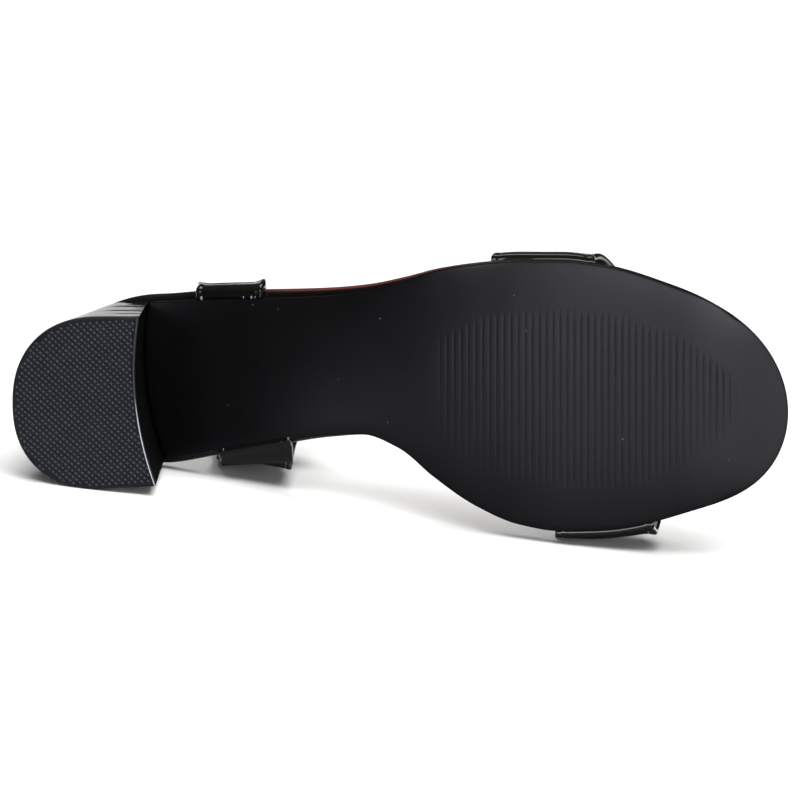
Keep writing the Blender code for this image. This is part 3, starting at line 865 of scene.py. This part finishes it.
def press_studs(name):
    """The studs of the tread: one small truncated pyramid, repeated over the lattice, its tip coloured paler
    unevenly from stud to stud, partly as wear and partly as painted highlight.
    """
    bpy.ops.object.select_all(action="DESELECT")
    bpy.ops.mesh.primitive_cone_add(vertices=4, radius1=STUD_TIP * math.sqrt(2.0),
                                    radius2=STUD_FOOT * math.sqrt(2.0), depth=TREAD_DEPTH)
    stud = bpy.context.object
    stud.data.transform(Matrix.Translation((0.0, 0.0, TREAD_DEPTH / 2.0 + STUD_SHORT))
                        @ Matrix.Rotation(TREAD_TURN, 4, "Z") @ Matrix.Diagonal((1.0, STUD_NARROW, 1.0, 1.0))
                        @ Matrix.Rotation(math.pi / 4.0, 4, "Z"))
    raised = np.array([1.0 - vert.co.z / TREAD_DEPTH for vert in stud.data.vertices])
    places = stud_places()
    studs = repeat(name, stud, np.pad(places, ((0, 0), (0, 1))), np.eye(3))
    # Paler stud tips: partly wear, partly painted highlight.
    tip_wear_and_highlight = STUD_WEAR_AND_HIGHLIGHT * np.random.default_rng(5).uniform(*STUD_UNEVEN, len(places))
    mark(studs, "worn", np.outer(tip_wear_and_highlight, raised).ravel())
    return studs


def lift_rubber():
    """Hard heel rubber: bluish charcoal, dull, with a fine grain. Its stud tips are paler, partly from wear
    and partly as painted highlight, and its front edge carries a painted highlight.
    """
    made, tree, shader = new_material("heel rubber")
    spots = node(tree, "ShaderNodeTexCoord", {}).outputs["Object"]
    grit = node(tree, "ShaderNodeTexNoise", {"Vector": spots, "Scale": 1.0 / (0.45 * MM), "Detail": 3.0})
    cloud = node(tree, "ShaderNodeTexNoise", {"Vector": spots, "Scale": 1.0 / (6.0 * MM), "Detail": 3.0})
    # The marked amount pales the colour: stud tips, worn and with painted highlight, and the painted
    # highlight on the front edge.
    worn = node(tree, "ShaderNodeAttribute", {}, attribute_name="worn").outputs["Fac"]
    patchy = node(tree, "ShaderNodeMath", {0: cloud.outputs["Fac"], 1: 0.15, 2: worn},
                  operation="MULTIPLY_ADD")
    tone = node(tree, "ShaderNodeValToRGB", {"Fac": patchy.outputs[0]})
    tone.color_ramp.elements[0].position = 0.08
    tone.color_ramp.elements[0].color = linear("#121317")
    tone.color_ramp.elements.new(0.8).color = linear("#3b3e45")
    tone.color_ramp.elements[2].position = 1.0
    tone.color_ramp.elements[2].color = linear("#a9aeb8")
    relief = node(tree, "ShaderNodeBump", {"Height": grit.outputs["Fac"], "Distance": 0.05 * MM,
                                           "Strength": 0.4})
    shader.inputs["Roughness"].default_value = 0.5
    shader.inputs["Specular IOR Level"].default_value = 0.1
    tree.links.new(tone.outputs["Color"], shader.inputs["Base Color"])
    tree.links.new(relief.outputs["Normal"], shader.inputs["Normal"])
    return made


def painted_edge_highlight(u, v, level):
    """Painted highlight: the pad's front edge is coloured pale, more so towards the inner side."""
    return (u == 1.0) * (level > 0.8) * (0.55 + 0.45 * fade(v, 0.3, 0.7))


top_lift = last(cut_blank("top_lift_pad", rows=90, columns=100, courses=6), lift_form, crisp=70.0)
# Painted highlight along the pad's front edge.
mark(top_lift, "worn", painted_edge_highlight(*blank_places(top_lift)))
studs = press_studs("top_lift_studs")
studs.select_set(True)
top_lift.select_set(True)
bpy.context.view_layer.objects.active = top_lift
bpy.ops.object.join()
top_lift.data.materials.append(lift_rubber())
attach(top_lift, "root")
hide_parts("top_lift")


# Floor, lights and camera. A sweep of pale paper that curves up far behind the shoe. A broad soft light hangs
# overhead, a key that reflections don't show stands above the camera, two more light the paper, and three
# weak ones stand in a row far in front.
FLOOR_LEFT = -1.3
FLOOR_RIGHT = 1.6
FLOOR_FRONT = -2.6
SWEEP_START = 2.6
SWEEP_RADIUS = 0.3

bpy.ops.object.select_all(action="DESELECT")
bpy.ops.mesh.primitive_grid_add(x_subdivisions=8, y_subdivisions=96, size=1.0)
floor = bpy.context.object
floor.name = "paper_sweep"
run_length = SWEEP_START - FLOOR_FRONT + SWEEP_RADIUS * math.pi / 2.0
for vert in floor.data.vertices:
    run = FLOOR_FRONT + (vert.co.y + 0.5) * run_length
    bend = min(max((run - SWEEP_START) / SWEEP_RADIUS, 0.0), math.pi / 2.0)
    vert.co.x = FLOOR_LEFT + (vert.co.x + 0.5) * (FLOOR_RIGHT - FLOOR_LEFT)
    vert.co.y = min(run, SWEEP_START) + SWEEP_RADIUS * math.sin(bend)
    vert.co.z = SWEEP_RADIUS * (1.0 - math.cos(bend))
bpy.ops.object.shade_smooth()
paper, paper_tree, paper_shader = new_material("white background paper")
paper_spots = node(paper_tree, "ShaderNodeTexCoord", {}).outputs["Object"]
paper_fibre = node(paper_tree, "ShaderNodeTexNoise", {"Vector": paper_spots, "Scale": 1.0 / (1.2 * MM)})
paper_relief = node(paper_tree, "ShaderNodeBump", {"Height": paper_fibre.outputs["Fac"],
                                                   "Distance": 0.02 * MM, "Strength": 0.3})
paper_shader.inputs["Base Color"].default_value = linear("#f2f2f1")
paper_shader.inputs["Roughness"].default_value = 0.9
paper_tree.links.new(paper_relief.outputs["Normal"], paper_shader.inputs["Normal"])
floor.data.materials.append(paper)

Softbox = namedtuple("Softbox", "name place aim width height power spread mirrored", defaults=(True,))
SOFTBOXES = (
    Softbox("overhead", (0.08, 0.14, 1.4), (0.0, 0.02, 0.0), 1.7, 0.75, 20.0, 180.0),
    Softbox("key", (0.0, -1.0, 1.25), (-0.03, 0.1, 0.0), 1.6, 0.9, 23.0, 150.0, False),
    Softbox("front_floor", (0.15, -1.5, 1.1), (0.15, -1.5, 0.0), 1.6, 0.6, 18.0, 90.0),
    Softbox("backdrop", (0.1, 1.9, 1.7), (0.1, 1.9, 0.0), 2.0, 1.5, 16.0, 75.0),
    Softbox("front_left", (-1.0, -2.0, 0.5), (0.0, 0.0, 0.05), 0.7, 0.5, 1.6, 90.0),
    Softbox("front_middle", (0.25, -2.0, 0.36), (0.05, 0.0, 0.08), 0.9, 0.3, 1.5, 90.0),
    Softbox("front_right", (1.1, -2.0, 0.5), (0.0, 0.0, 0.05), 0.7, 0.5, 2.6, 90.0),
)
for box in SOFTBOXES:
    bpy.ops.object.light_add(type="AREA", location=box.place)
    light = bpy.context.object
    light.name = box.name
    light.rotation_euler = (Vector(box.aim) - Vector(box.place)).to_track_quat("-Z", "Y").to_euler()
    light.data.shape = "RECTANGLE"
    light.data.size = box.width
    light.data.size_y = box.height
    light.data.energy = box.power
    light.data.spread = math.radians(box.spread)
    light.visible_camera = False
    light.visible_glossy = box.mirrored

# Cards that only reflections show: a black one leans beside the heel and darkens the sole's waist, two grey
# ones on the floor keep its white out of the inner ends of the bands and the sole's lower edge, a pale one
# behind the shoe tones down the heel's wall, and a black one overhead keeps the toe's rim dark.
Card = namedtuple("Card", "name tone place lean tilt width depth")
CARDS = (
    Card("waist_card", "#0b0b0b", (-0.49, -0.65, 0.10), 0.0, 14.0, 0.76, 1.16),
    Card("instep_card", "#74767c", (-0.045, -0.09, 0.002), 0.0, 0.0, 0.07, 0.22),
    Card("ball_card", "#606060", (0.09, -0.225, 0.002), 0.0, 0.0, 0.24, 0.39),
    Card("heel_card", "#b0b0b0", (-0.30, 1.55, 0.20), 10.5, 0.0, 0.80, 2.15),
    Card("toe_card", "#0b0b0b", (0.60, 0.60, 0.90), 0.0, 0.0, 0.90, 2.40),
)
for card in CARDS:
    dull, _, dull_shader = new_material("dull " + card.name.replace("_", " "))
    dull_shader.inputs["Base Color"].default_value = linear(card.tone)
    dull_shader.inputs["Roughness"].default_value = 1.0
    dull_shader.inputs["Specular IOR Level"].default_value = 0.0
    bpy.ops.object.select_all(action="DESELECT")
    bpy.ops.mesh.primitive_plane_add(size=1.0)
    flag = bpy.context.object
    flag.name = card.name
    turn = Euler((math.radians(card.lean), math.radians(card.tilt), 0.0)).to_matrix().to_4x4()
    flag.data.transform(Matrix.Translation(card.place) @ turn
                        @ Matrix.Diagonal((card.width, card.depth, 1.0, 1.0)))
    flag.data.materials.append(dull)
    flag.visible_camera = False
    flag.visible_diffuse = False
    flag.visible_shadow = False

world = bpy.data.worlds.new("studio")
world.use_nodes = True
world.node_tree.nodes["Background"].inputs["Color"].default_value = linear("#606060")
world.node_tree.nodes["Background"].inputs["Strength"].default_value = 0.4
bpy.context.scene.world = world
bpy.context.scene.view_settings.view_transform = "Standard"

CAMERA_PLACE = (104.0, -186.2, -1500.0)     # in the standing shoe's own millimetres
CAMERA_AIM = (120.5, -0.6, 0.0)
PIXELS_PER_MM = 3.217                       # at the aim, in a picture of 800 pixels
PICTURE = 800.0
SENSOR = 36.0
bpy.ops.object.camera_add()
camera = bpy.context.object
place = lying @ Vector(CAMERA_PLACE)
backward = (place - lying @ Vector(CAMERA_AIM)).normalized()
right = (-inward).cross(backward).normalized()
pose = Matrix((right, backward.cross(right), backward)).transposed().to_4x4()
camera.matrix_world = Matrix.Translation(place) @ pose
camera.data.sensor_width = SENSOR
camera.data.lens = SENSOR * PIXELS_PER_MM * (Vector(CAMERA_PLACE) - Vector(CAMERA_AIM)).length / PICTURE
camera.data.clip_end = 50.0
bpy.context.scene.camera = camera
